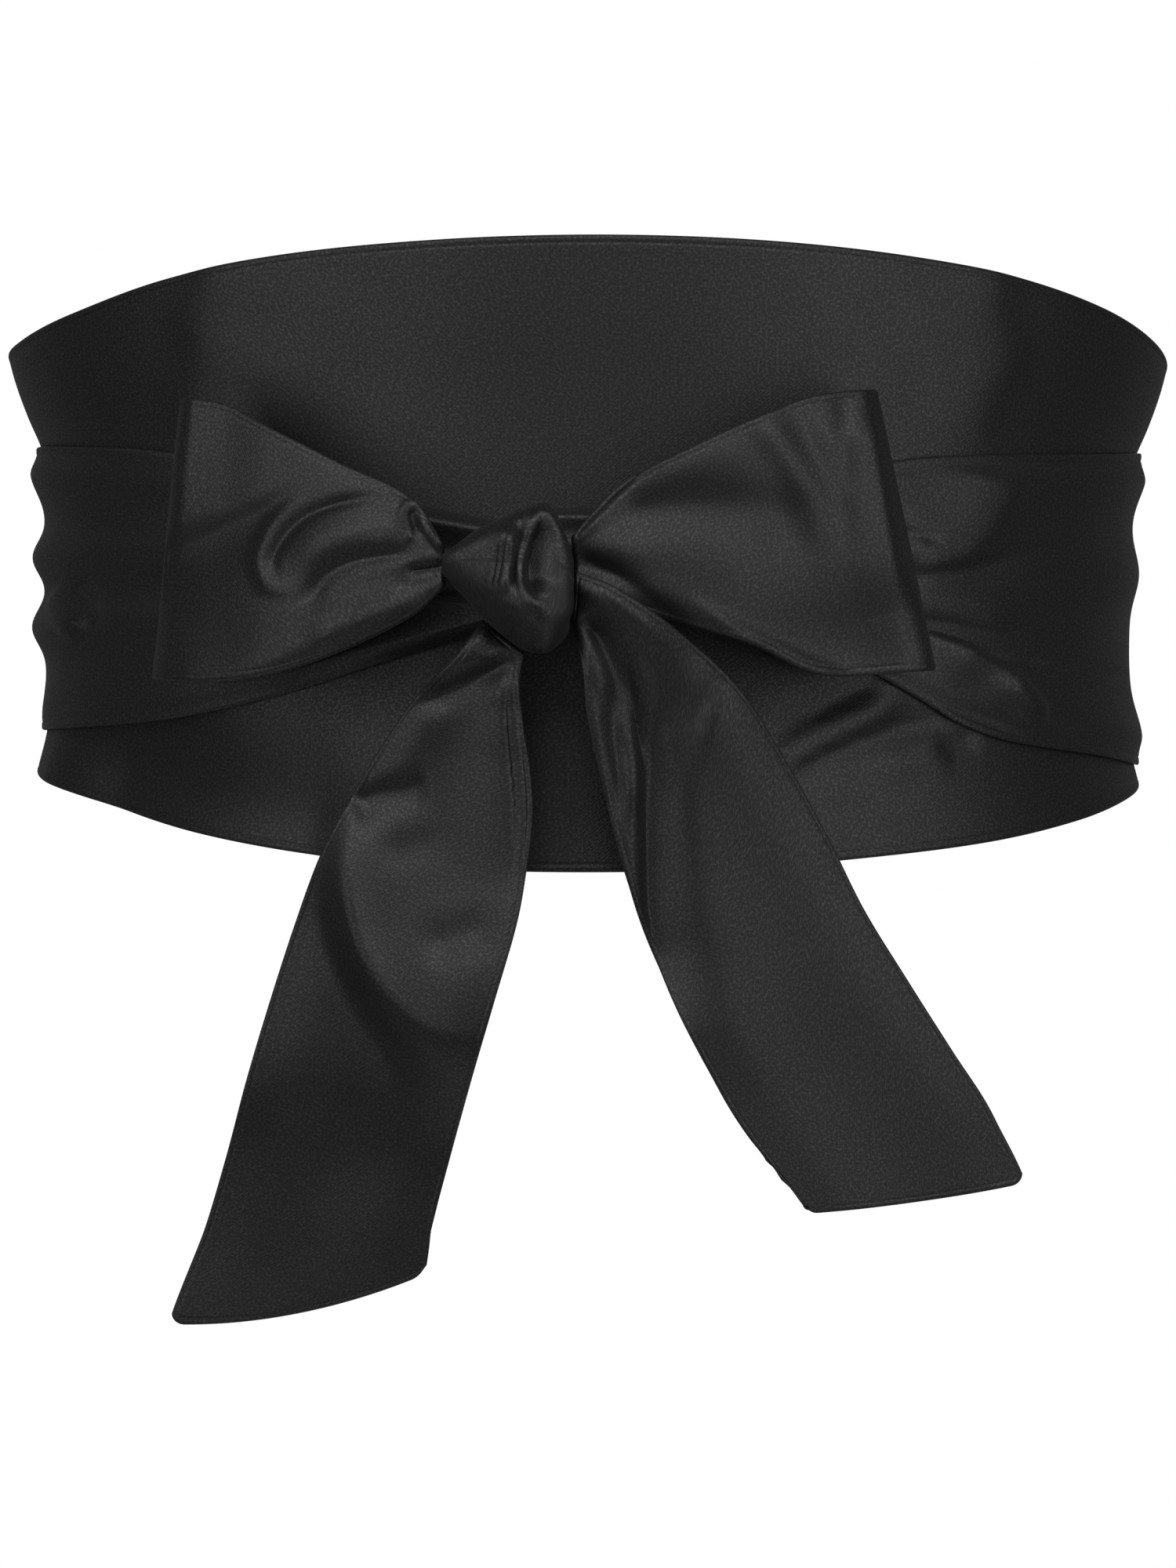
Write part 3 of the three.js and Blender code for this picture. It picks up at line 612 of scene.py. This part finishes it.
rightLoopLook = {
    "rows": makeTable(loopColumns, [
        (0, -3.6, 1.8, -2.4, -7, -115.5, 2.2, 0, 0.6),
        (0.13, 6.5, 12.6, 8, -12.5, -113, 4, 1.5, 1.6),
        (0.34, 20, 20, 21.5, -16.6, -110, 7, 2, 1.0),
        (0.56, 35, 27, 35.7, -21, -107.5, 7.5, 1.5, 0.3),
        (0.78, 48.2, 32.2, 50.2, -27, -103.5, 6.5, 0.8, 0),
        (1, 61.5, 34.2, 74.3, -26, -98.5, 4.5, 0, 0),
    ]),
    "creases": [
        crease([(1, 5), (14, 7.6), (26, 7.6), (38, 6.4), (53, 3)], 7.0, -3.3, farWidth=11, endRise=-2.6),
        crease([(34, 29), (40, 22.5), (44.5, 15.5), (47.5, 8), (47, -1)], 3.4, 1.0),
        crease([(41, 34), (45.5, 25), (50, 17), (54, 8), (54.5, -3)], 2.6, -0.4),
        crease([(54, 34), (54.5, 24), (55, 10)], 2.4, -0.6),
        crease([(-8, -0.5), (2, -4.4), (9, -8.6), (14, -12.2), (20, -16.4), (28, -21)], 2.8, -3.0,
               farWidth=4, endRise=-0.6),
        crease([(-4, 0.6), (4.2, 9), (12.5, 16.8)], 0.7, -1.0),
        crease([(18, -10.5), (29, -16.8), (39, -21.8), (49, -26.4), (58, -29)], 2.2, 1.4),
        dimple((42, -21), (54, -23), 11, -2.4),
        crease([(60, 32), (62.5, 12), (66, -14)], 3.6, 2.4, farWidth=11),
    ],
    "sag": {"x": 66, "z": -24, "halfWidth": 22, "halfHeight": 14, "depth": 2.4},
    "seed": 22,
}


# Where a loop's end sags towards the waist
def sagDepth(sag, x, z):
    away = np.hypot((x - sag["x"]) / sag["halfWidth"], (z - sag["z"]) / sag["halfHeight"])
    return sag["depth"] * np.exp(-away ** 2)


def makeLoop(name, look):
    both = loopLook
    rows = look["rows"]
    length = math.hypot(rows["topX"][-1] - rows["topX"][0], rows["topZ"][-1] - rows["topZ"][0])
    turnStart = 1 - both["turn"] / length
    frontSteps, turnSteps, backSteps = both["alongSteps"]
    front = np.linspace(0, turnStart, frontSteps)[:-1]
    bend = np.linspace(0, math.pi, turnSteps)
    back = np.linspace(turnStart, 0, backSteps)[1:]
    reach = np.concatenate([front, mix(turnStart, 1, np.sin(bend)), back])
    side = np.concatenate([np.full(len(front), -1.0), -np.cos(bend), np.ones(len(back))])
    share = edgeShares(both["acrossSteps"], both["meanWidth"], both["stepRoll"])
    reach, across = np.meshgrid(reach, share, indexing="ij")
    side = np.repeat(side[:, None], len(share), axis=1)
    at = {column: columnAt(rows, column, reach) for column in loopColumns.split()[1:]}
    x = mix(at["topX"], at["lowX"], across)
    z = mix(at["topZ"], at["lowZ"], across)
    gathers = -at["gather"] * 0.5 * np.cos(2 * math.pi * both["gathers"] * unevenShares(across))
    swell = at["swell"] * 4 * across * (1 - across)
    toFront = smoothStep(-side, *both["turnFade"])
    toBack = smoothStep(side, *both["turnFade"])
    rise = swell + both["frontGathers"] * gathers + creaseRise(look["creases"], x, z)
    soft = both["swell"] * softSwell(x, z, look["seed"], both["swellSize"])
    y = at["depth"] + side * at["half"] - toFront * (rise + soft)
    y = y + toBack * (gathers + both["backSwell"] * soft)
    y = y + sagDepth(look["sag"], x, z)
    piece = makeCloth(name, np.stack([x, y, z], axis=2), both["wall"], both["roll"])
    dress(piece, name)
    return piece


loopLeft = makeLoop("loop_left", leftLoopLook)
loopRight = makeLoop("loop_right", rightLoopLook)
loopLeft.name, loopRight.name = "loopLeft", "loopRight"
print("loops made")

# Tails of the bow, from the knot (0) to the hem (1)
tailLook = {  # what both share
    "wall": 1.2,
    "roll": 0.7,
    "stepRoll": 0.8,
    "steps": (190, 80),
    "length": 150,
    "width": 48,
    "folds": 2,
    "swell": 0.6,
    "swellSize": 34,
    "hemFrom": 0.8,  # shares of the length
    "cornerFrom": 0.9,
    "cornerShare": 0.05,
}
tailColumns = "along leftX leftY leftZ rightX rightY rightZ fold"
leftTailLook = {
    "rows": makeTable(tailColumns, [
        (0, -22.5, -113.5, -15.7, -13.5, -114, -22.7, 0.4),
        (0.06, -27.7, -115.5, -23, -14.5, -116.5, -29, 1.0),
        (0.13, -36.8, -112.5, -32.1, -13.8, -116.5, -38, 1.0),
        (0.21, -45.2, -109, -44.1, -12.2, -115, -48, 0.9),
        (0.29, -51.8, -106, -55.4, -11.8, -113, -58, 0.8),
        (0.37, -57.8, -104, -67.1, -13.2, -111, -69.6, 0.8),
        (0.46, -62.7, -101, -80.1, -15.2, -110, -80.4, 0.7),
        (0.58, -68.3, -99.5, -97.2, -20, -107, -97.1, 0.6),
        (0.7, -73.4, -97, -114, -24.9, -103.5, -113.8, 0.5),
        (0.82, -78.1, -91.5, -131, -29.6, -97, -130.6, 0.5),
        (0.92, -83.3, -88, -148, -33.5, -93.5, -145.6, 0.5),
        (1, -90.1, -85.5, -167.4, -35.3, -91.5, -156.2, 0.4),
    ]),
    "belly": {
        "x": -25,
        "z": -68,
        "halfWidth": 26,
        "halfHeight": 35,
        "rise": 9.8,
        "fall": 4.8,  # width of the steep rim on the left
        "softFall": 13,  # and of the soft one on the right
        "softFrom": (-0.9, 0.3),  # half widths from the middle where the rim turns soft
        "lowFrom": 0.7,  # half heights above the middle where the bowl starts
        "bowl": 2.2,  # power, more is flatter in the middle
        "climbLength": 1.6,  # half heights
        "climbStart": 0.42,
        "climbShare": 0.5,  # the rest is the bowl
    },
    "hemBow": 3,
    "cornerRise": 2.4,
    "creases": [
        crease([(-62, -37), (-40, -36), (-20, -35), (2, -35)], 8, -2.4, farWidth=26),
        crease([(-37, -35), (-28, -29.5), (-21, -26.5), (-13, -24)], 2.2, -3.0, farWidth=3.2),
        crease([(-37, -30.5), (-27, -22.5), (-19, -16.5)], 1.8, 1.2),
        crease([(-52, -55.5), (-43, -52.5), (-33, -50)], 3.0, -2.2, farWidth=5.5),
        dimple((-40, -64.5), (-35, -63), 4.5, -0.7),
        dimple((-30, -84), (-24, -82), 4.6, -1.3),
        crease([(-17, -24), (-17.2, -36), (-16.4, -46), (-15.6, -56), (-16, -72)], 0.6, -0.6),
        crease([(-14.6, -27), (-14.4, -38), (-13.6, -47), (-12.9, -56), (-13.4, -66)], 0.45, -0.35),
    ],
    "seed": 31,
}
rightTailLook = {
    "rows": makeTable(tailColumns, [
        (0, -3, -117, -16.5, -2.8, -120.2, -5.4, 0.3),
        (0.07, -1.2, -119, -25.4, 6.5, -122, -9.4, 0.8),
        (0.15, -0.2, -118, -36.2, 19.8, -118, -18.6, 0.9),
        (0.24, 2.3, -116, -47.9, 32.3, -112, -30.3, 0.9),
        (0.35, 5.7, -114, -62.1, 42.3, -106, -45.6, 0.8),
        (0.45, 9.2, -112, -73.7, 51.5, -103, -62.1, 0.7),
        (0.55, 13.5, -110.5, -85.4, 59, -102.5, -77.1, 0.6),
        (0.67, 19, -109.5, -98.7, 68.2, -103, -92.1, 0.5),
        (0.78, 25.7, -109, -111.6, 77.7, -103.5, -107.1, 0.5),
        (0.89, 32.8, -109, -123.7, 86.2, -104, -120.4, 0.4),
        (1, 46.5, -109, -141.9, 92.8, -104.5, -135.8, 0.3),
    ]),
    "hemBow": 0.8,
    "cornerRise": 2.2,
    "creases": [
        crease([(-14, -7.6), (-3, -9), (3, -10.4), (10, -14.6), (22, -24)], 4.6, 3.6),
        crease([(-1, -14), (2.6, -20.5), (5.6, -29), (8, -42)], 2.6, -3.4, farWidth=2.0, endRise=-0.4),
        crease([(-1.4, -21), (-0.4, -31), (2.6, -43), (5.4, -56)], 1.5, 0.9),
        crease([(3.4, -29), (5.4, -40), (7, -50), (8.4, -62)], 1.9, -1.3),
        crease([(7.5, -15), (11.2, -29), (11.8, -40), (10, -50), (7.6, -62)], 2.0, 1.8, endRise=1.2),
        # the long fold, with its hollow on the left and its crest on the right
        crease([(8.6, -25), (10.8, -39), (12, -52), (12.4, -64), (13, -78), (15.5, -90), (20, -104)],
               5.0, -4.6, farWidth=1.4, endWidth=8, endRise=-3.6),
        crease([(8, -12), (15, -31), (20, -43), (22.6, -51), (24.6, -62), (26, -76), (30, -92), (36, -108),
                (43, -124)], 14, 3.4, farWidth=5.0, endWidth=22, endRise=0.4),
        crease([(2, -31), (12, -32), (20, -33), (28, -35)], 12, -2.4, farWidth=13),
        dimple((21, -107), (24, -105), 12, 1.1),
    ],
    "seed": 32,
}


# A bowl of cloth that swells towards its lower rim, then falls away
def bellyRise(belly, x, z):
    halfWidth, halfHeight = belly["halfWidth"], belly["halfHeight"]
    besideShare, aboveShare = (x - belly["x"]) / halfWidth, (z - belly["z"]) / halfHeight
    reach = np.hypot(besideShare, aboveShare)
    softness = smoothStep(besideShare, *belly["softFrom"])
    past = np.maximum(reach - 1, 0) * halfWidth / mix(belly["fall"], belly["softFall"], softness)
    low = smoothStep(belly["lowFrom"] - aboveShare, 0, 1)
    inside = np.minimum(reach, 1)
    swell = low * mix(inside ** belly["bowl"], 0.5 - 0.5 * np.cos(math.pi * inside), softness)
    climb = np.clip(belly["climbStart"] - aboveShare / belly["climbLength"], 0, 1)
    climb = 0.5 - 0.5 * np.cos(math.pi * climb)
    return belly["rise"] * mix(swell, climb, belly["climbShare"]) * np.exp(-past ** 2)


def makeTail(name, look):
    both = tailLook
    rows = look["rows"]
    alongSteps, acrossSteps = both["steps"]
    alongShares = edgeShares(alongSteps, both["length"], both["stepRoll"])
    acrossShares = edgeShares(acrossSteps, both["width"], both["roll"])
    along, across = np.meshgrid(alongShares, acrossShares, indexing="ij")
    at = {column: columnAt(rows, column, along) for column in tailColumns.split()[1:]}
    x = mix(at["leftX"], at["rightX"], across)
    y = mix(at["leftY"], at["rightY"], across)
    z = mix(at["leftZ"], at["rightZ"], across)
    z = z - look["hemBow"] * smoothStep(along, both["hemFrom"], 1) * 4 * across * (1 - across)
    corner = 1 - np.clip(np.minimum(across, 1 - across) / both["cornerShare"], 0, 1)
    z = z + look["cornerRise"] * smoothStep(along, both["cornerFrom"], 1) * (1 - np.sqrt(1 - corner ** 2))
    wave = -at["fold"] * 0.5 * np.cos(2 * math.pi * both["folds"] * unevenShares(across))
    soft = both["swell"] * softSwell(x, z, look["seed"], both["swellSize"])
    y = y - wave - creaseRise(look["creases"], x, z) - soft
    if "belly" in look:
        y = y - bellyRise(look["belly"], x, z)
    piece = makeCloth(name, np.stack([x, y, z], axis=2), both["wall"], both["roll"])
    dress(piece, name)
    return piece


tailLeft = makeTail("tail_left", leftTailLook)
tailRight = makeTail("tail_right", rightTailLook)
tailLeft.name, tailRight.name = "tailLeft", "tailRight"
print("tails made")

# The knot, from its left end to its right end
knotLook = {
    "rows": makeTable("x top bottom depth half", [
        (-29.2, -1.2, -7.8, -116.5, 5.4), (-26, 1.6, -11, -117, 6.8), (-22.5, 4, -15, -117.5, 8.2),
        (-16, 6.8, -20.4, -118, 10.4), (-12, 8.4, -22.6, -118, 11), (-8.6, 9, -22.6, -118, 10.8),
        (-5.8, 4.4, -20.4, -117.5, 9.6), (-4.2, -2, -18, -117, 8.4),
    ]),
    "wall": 1.1,
    "roll": 0.6,
    "steps": (240, 130),  # round the knot and from end to end
    "inset": 0.6,  # keeps the wall inside the sizes above
    "endRound": 1.0,
    "rimShare": 0.9,  # the rims turn in round the loops by the rest
    "overhang": (1.4, 1.0),  # how far the front covers the loops, left and right
    "overhangPower": 6,  # more keeps it nearer the ends
    "overhangReach": (0.5, 0.9),  # how far round the front it starts and is full
    "creaseReach": (-0.2, 0.5),
    "boxy": 2.8,  # 2 is an oval section, more is flatter in front
    "noseUp": 0.28,  # how far the front of the section stands above its middle
    "creases": [
        crease([(-31, -3.8), (-25.3, -1.2), (-20, 1.8), (-15.5, 4.4)], 3.0, 2.2, farWidth=5),
        crease([(-16, 5), (-16.6, -3.3), (-17.6, -11)], 0.8, 1.4, farWidth=3.0),
        crease([(-16.9, 3), (-17.7, -3.3), (-18.9, -10)], 0.4, -0.6),
        crease([(-18.3, 1), (-19.0, -4.3), (-20, -10)], 0.4, -0.5),
        crease([(-13.6, 6), (-14.6, 0), (-15.4, -5.6), (-14.6, -11)], 1.0, -1.4),
        crease([(-13.6, 0.4), (-14.4, -3.8), (-13.9, -8.5), (-11.8, -12.4), (-8.6, -13.2)], 1.0, 0.5,
               endRise=1.0),
        crease([(-9.2, 7), (-12.2, -1), (-12.9, -6), (-12, -11.4)], 3.6, -3.6, farWidth=0.9),
        crease([(-8.4, 8.6), (-6.6, 0.9), (-5.6, -6.8), (-5.4, -16)], 1.6, 0.5),
        crease([(-31, -6.6), (-21.8, -8.8), (-17, -11.6), (-11.2, -14.8), (-4, -18.2), (4, -21.6)], 6.0, 2.6,
               farWidth=4.0, endRise=6.0),
    ],
}


def makeKnot(name, look):
    rows = look["rows"]
    roundSteps, alongSteps = look["steps"]
    turn = np.linspace(0, 2 * math.pi, roundSteps + 1)[:-1]
    along = mix(rows["x"][0], rows["x"][-1], np.linspace(0, 1, alongSteps))
    turn, x = np.meshgrid(turn, along, indexing="ij")
    at = {column: columnAt(rows, column, x) for column in ("top", "bottom", "depth", "half")}
    inside = np.clip(np.minimum(x - along[0], along[-1] - x) / look["endRound"], 0, 1)
    close = mix(look["rimShare"], 1, np.sqrt(1 - (1 - inside) ** 2))
    place = (x - along[0]) / (along[-1] - along[0])
    left, right = look["overhang"]
    over = right * place ** look["overhangPower"] - left * (1 - place) ** look["overhangPower"]
    tall = ((at["top"] - at["bottom"]) / 2 - look["inset"]) * close
    power = 2 / look["boxy"]
    up = np.sign(np.sin(turn)) * np.abs(np.sin(turn)) ** power
    out = np.sign(np.cos(turn)) * np.abs(np.cos(turn)) ** power
    z = (at["top"] + at["bottom"]) / 2 + tall * (up + look["noseUp"] * (1 - up ** 2))
    front = smoothStep(np.cos(turn), *look["creaseReach"])
    rise = front * close * creaseRise(look["creases"], x, z)
    y = at["depth"] - ((at["half"] - look["inset"]) * close + rise) * out
    x = x + over * smoothStep(np.cos(turn), *look["overhangReach"])
    piece = makeCloth(name, np.stack([x, y, z], axis=2), look["wall"], look["roll"], ring=True)
    dress(piece, name)
    return piece


knot = makeKnot("knot", knotLook)
knot.name = "bowKnot"
print("knot made")

print("all pieces made")

# Camera, pale floor and soft studio light
studioLook = {
    "camera": (0, -1.5, -0.0504),
    "lens": 150,
    "sensorHeight": 36,
    "floorHeight": -0.55,
    "floorRadius": 0.45,
    "floorSides": 96,
    "floorColour": (0.85, 0.85, 0.85, 1),
    "floorRoughness": 0.9,
    "background": 1.0,
    "ambient": 0.085,
    "lights": [  # place, width, height, power
        ((0.0, -1.75, 1.5), 2.8, 1.3, 20),
        ((-1.5, -1.4, 0.25), 1.6, 2.1, 9.1),
        ((1.5, -1.4, 0.15), 1.6, 2.2, 9.6),
        ((0.0, -2.3, 0.35), 2.0, 1.8, 2.2),
        ((0.0, 2.4, 1.2), 2.0, 1.2, 2.5),
    ],
}


def makeStudio(look):
    scene = bpy.context.scene
    scene.view_settings.view_transform = "Standard"
    camera = bpy.data.cameras.new("camera")
    camera.lens = look["lens"]
    camera.sensor_fit = "VERTICAL"
    camera.sensor_height = look["sensorHeight"]
    holder = bpy.data.objects.new("camera", camera)
    holder.location = look["camera"]
    holder.rotation_euler = (math.pi / 2, 0, 0)
    scene.collection.objects.link(holder)
    scene.camera = holder
    for number, (place, width, height, power) in enumerate(look["lights"]):
        lamp = bpy.data.lights.new("softbox%d" % number, "AREA")
        lamp.shape = "RECTANGLE"
        lamp.size, lamp.size_y, lamp.energy = width, height, power
        box = bpy.data.objects.new("softbox%d" % number, lamp)
        box.location = place
        aim = -np.array(place)  # towards the middle of the sash
        tilt = math.atan2(math.hypot(aim[0], aim[1]), -aim[2])
        box.rotation_euler = (tilt, 0, math.atan2(-aim[0], aim[1]))
        scene.collection.objects.link(box)
    world = bpy.data.worlds.new("studio")
    world.use_nodes = True
    scene.world = world
    nodes, links = world.node_tree.nodes, world.node_tree.links
    sky = nodes["Background"]
    seen = nodes.new("ShaderNodeLightPath")
    level = nodes.new("ShaderNodeMapRange")
    level.inputs["To Min"].default_value = look["ambient"]
    level.inputs["To Max"].default_value = look["background"]
    links.new(seen.outputs["Is Camera Ray"], level.inputs["Value"])
    links.new(level.outputs["Result"], sky.inputs["Strength"])
    sky.inputs["Color"].default_value = (1, 1, 1, 1)
    bpy.ops.mesh.primitive_circle_add(vertices=look["floorSides"], radius=look["floorRadius"],
                                      fill_type="NGON", location=(0, 0, look["floorHeight"]))
    floor = bpy.context.object
    floor.name = "floor"
    paint = bpy.data.materials.new("paleFloor")
    paint.use_nodes = True
    shader = paint.node_tree.nodes["Principled BSDF"]
    shader.inputs["Base Color"].default_value = look["floorColour"]
    shader.inputs["Roughness"].default_value = look["floorRoughness"]
    floor.data.materials.append(paint)


makeStudio(studioLook)
print("studio made")
